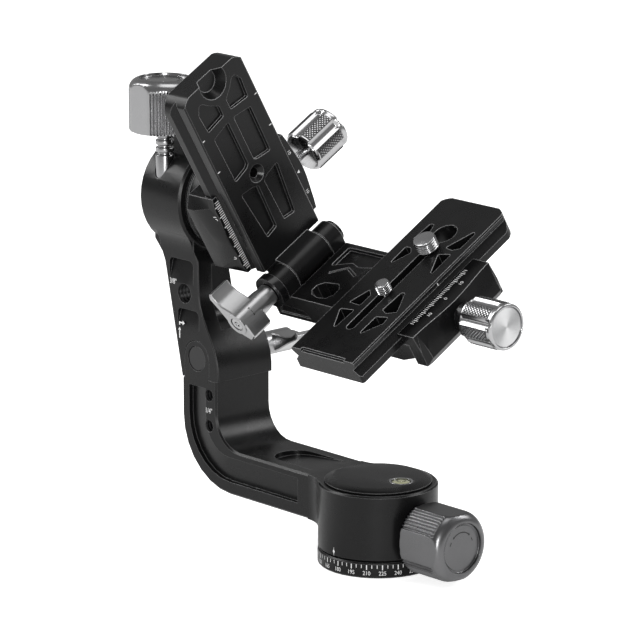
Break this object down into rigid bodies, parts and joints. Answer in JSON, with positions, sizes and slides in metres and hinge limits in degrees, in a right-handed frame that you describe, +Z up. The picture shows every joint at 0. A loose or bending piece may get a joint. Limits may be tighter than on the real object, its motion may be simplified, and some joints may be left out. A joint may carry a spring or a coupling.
{
  "type": "gimbal tripod head",
  "caption": "Gimbal head: pan base with lock knob, two-piece swing arm, tilting clamp, folding dovetail plate and camera rail.",
  "frame": {"origin": "centre of the tripod socket on the underside of the pan base", "axes": "+Z up the pan axis, +X from the swing arm towards the pan lock knob along the tilt axis, +Y to the far side of the arm from its clamp bolt's head"},
  "size_m": [0.1785, 0.1066, 0.2012],
  "materials": {
    "pan_base": "black anodised, satin",
    "socket_insert": "turned",
    "pan_bearing": "turned",
    "pan_washer": "plain",
    "pan_nut": "turned",
    "lower_arm": "black anodised, satin",
    "housing_cap": "black anodised, satin",
    "level_case": "silver anodised, satin",
    "level_vial": "clear over green liquid",
    "pan_brake_shoe": "plain",
    "arm_bolt": "black oxide",
    "pan_knob": "titanium grey anodised, satin",
    "pan_knob_disc": "titanium grey anodised, satin",
    "pan_knob_screw": "turned",
    "arm_lever": "bead-blasted silver",
    "arm_lever_screw": "turned",
    "upper_arm": "black anodised, satin",
    "tilt_bearing_outer": "turned",
    "tilt_bearing_spacer": "black anodised, satin",
    "tilt_bearing_inner": "turned",
    "barrel_cover": "black anodised, satin",
    "tilt_knob": "silver anodised, satin",
    "tilt_knob_disc": "silver anodised, satin",
    "tilt_knob_stem": "silver anodised, satin",
    "tilt_shaft": "black anodised, satin",
    "tilt_shaft_nut": "turned",
    "clamp_a_body": "black anodised, satin",
    "clamp_a_bolt_1": "turned",
    "clamp_a_bolt_2": "turned",
    "clamp_a_bolt_3": "turned",
    "clamp_a_bolt_4": "turned",
    "clamp_a_jaw": "black anodised, satin",
    "clamp_a_pin_1": "turned",
    "clamp_a_pin_2": "turned",
    "clamp_a_knob": "knurled, bright",
    "clamp_a_knob_disc": "spun bright",
    "clamp_a_screw": "turned",
    "leaf_a": "black anodised, satin",
    "leaf_b": "black anodised, satin",
    "hinge_bolt": "black oxide",
    "hinge_washer": "black anodised, satin",
    "hinge_lever": "bead-blasted silver",
    "hinge_lever_screw": "turned",
    "clamp_b_jaw": "black anodised, satin",
    "clamp_b_pin_1": "turned",
    "clamp_b_pin_2": "turned",
    "clamp_b_knob": "knurled, bright",
    "clamp_b_knob_disc": "spun bright",
    "clamp_b_screw": "turned",
    "clamp_b_collar": "black oxide",
    "rail": "black anodised, satin",
    "rail_stop_screw": "turned",
    "quarter_screw": "turned",
    "three_eighth_screw": "turned"
  },
  "bodies": {
    "base": {"pan_base": "pan_base", "socket_insert": "socket_insert", "pan_bearing": "pan_bearing", "pan_washer": "pan_washer", "pan_nut": "pan_nut"},
    "pan_arm": {"lower_arm": "lower_arm", "housing_cap": "housing_cap", "level_case": "level_case", "level_vial": "level_vial", "pan_brake_shoe": "pan_brake_shoe", "arm_bolt": "arm_bolt"},
    "pan_lock": {"pan_knob": "pan_knob", "pan_knob_disc": "pan_knob_disc", "pan_knob_screw": "pan_knob_screw"},
    "arm_clamp": {"arm_lever": "arm_lever", "arm_lever_screw": "arm_lever_screw"},
    "upper": {"upper_arm": "upper_arm", "tilt_bearing_outer": "tilt_bearing_outer", "tilt_bearing_spacer": "tilt_bearing_spacer", "tilt_bearing_inner": "tilt_bearing_inner", "barrel_cover": "barrel_cover"},
    "tilt_lock": {"tilt_knob": "tilt_knob", "tilt_knob_disc": "tilt_knob_disc", "tilt_knob_stem": "tilt_knob_stem"},
    "cradle": {"tilt_shaft": "tilt_shaft", "tilt_shaft_nut": "tilt_shaft_nut", "clamp_a_body": "clamp_a_body", "clamp_a_bolt_1": "clamp_a_bolt_1", "clamp_a_bolt_2": "clamp_a_bolt_2", "clamp_a_bolt_3": "clamp_a_bolt_3", "clamp_a_bolt_4": "clamp_a_bolt_4"},
    "jaw_a": {"clamp_a_jaw": "clamp_a_jaw", "clamp_a_pin_1": "clamp_a_pin_1", "clamp_a_pin_2": "clamp_a_pin_2"},
    "knob_a": {"clamp_a_knob": "clamp_a_knob", "clamp_a_knob_disc": "clamp_a_knob_disc", "clamp_a_screw": "clamp_a_screw"},
    "first_leaf": {"leaf_a": "leaf_a"},
    "second_leaf": {"leaf_b": "leaf_b", "hinge_bolt": "hinge_bolt", "hinge_washer": "hinge_washer"},
    "hinge_clamp": {"hinge_lever": "hinge_lever", "hinge_lever_screw": "hinge_lever_screw"},
    "jaw_b": {"clamp_b_jaw": "clamp_b_jaw", "clamp_b_pin_1": "clamp_b_pin_1", "clamp_b_pin_2": "clamp_b_pin_2"},
    "knob_b": {"clamp_b_knob": "clamp_b_knob", "clamp_b_knob_disc": "clamp_b_knob_disc", "clamp_b_screw": "clamp_b_screw", "clamp_b_collar": "clamp_b_collar"},
    "camera_rail": {"rail": "rail", "rail_stop_screw": "rail_stop_screw"},
    "small_screw": {"quarter_screw": "quarter_screw"},
    "large_screw": {"three_eighth_screw": "three_eighth_screw"}
  },
  "joints": [
    {"name": "pan_turn", "type": "hinge", "parent": "base", "child": "pan_arm", "pos_m": [0, 0, 0.02], "axis": [0, 0, 1], "continuous": true},
    {"name": "pan_lock_turn", "type": "hinge", "parent": "pan_arm", "child": "pan_lock", "pos_m": [0.0267, 0, 0.0162], "axis": [1, 0, 0], "range_deg": [0, 270]},
    {"name": "arm_lever_turn", "type": "hinge", "parent": "pan_arm", "child": "arm_clamp", "pos_m": [-0.0941, 0.0153, 0.0692], "axis": [0, 1, 0], "range_deg": [0, 150]},
    {"name": "arm_lift", "type": "slide", "parent": "pan_arm", "child": "upper", "axis": [0, 0, 1], "range_m": [0, 0.018]},
    {"name": "tilt_lock_turn", "type": "hinge", "parent": "upper", "child": "tilt_lock", "pos_m": [-0.1106, -0.0172, 0.1636], "axis": [0, 0, 1], "range_deg": [0, 270]},
    {"name": "tilt_turn", "type": "hinge", "parent": "upper", "child": "cradle", "pos_m": [-0.1, 0, 0.1355], "axis": [1, 0, 0], "range_deg": [-120, 60]},
    {"name": "jaw_a_slide", "type": "slide", "parent": "cradle", "child": "jaw_a", "axis": [0, 0.866, 0.5], "range_m": [0, 0.003]},
    {"name": "knob_a_turn", "type": "hinge", "parent": "jaw_a", "child": "knob_a", "pos_m": [-0.0776, 0, 0.1355], "axis": [0, 0.866, 0.5], "range_deg": [0, 720]},
    {"name": "first_leaf_slide", "type": "slide", "parent": "cradle", "child": "first_leaf", "axis": [0, -0.5, 0.866], "range_m": [-0.035, 0]},
    {"name": "hinge_fold", "type": "hinge", "parent": "first_leaf", "child": "second_leaf", "pos_m": [-0.0587, 0.013, 0.11298], "axis": [0, -0.866, -0.5], "range_deg": [0, 80]},
    {"name": "hinge_lever_turn", "type": "hinge", "parent": "second_leaf", "child": "hinge_clamp", "pos_m": [-0.0587, -0.00623, 0.10188], "axis": [0, -0.866, -0.5], "range_deg": [0, 120]},
    {"name": "jaw_b_slide", "type": "slide", "parent": "second_leaf", "child": "jaw_b", "axis": [1, 0, 0], "range_m": [0, 0.003]},
    {"name": "knob_b_turn", "type": "hinge", "parent": "jaw_b", "child": "knob_b", "pos_m": [0.036, 0.018, 0.10432], "axis": [1, 0, 0], "range_deg": [0, 720]},
    {"name": "rail_slide", "type": "slide", "parent": "second_leaf", "child": "camera_rail", "axis": [0, 0.866, 0.5], "range_m": [-0.0185, 0.0185]},
    {"name": "small_screw_slide", "type": "slide", "parent": "camera_rail", "child": "small_screw", "axis": [0, 0.866, 0.5], "range_m": [-0.02, 0.014]},
    {"name": "large_screw_slide", "type": "slide", "parent": "camera_rail", "child": "large_screw", "axis": [0, 0.866, 0.5], "range_m": [-0.012, 0.01]}
  ],
  "couplings": [
    {"joint": "knob_a_turn", "follows": "jaw_a_slide", "rad_per_m": 4188.8},
    {"joint": "knob_b_turn", "follows": "jaw_b_slide", "rad_per_m": 4188.8}
  ]
}
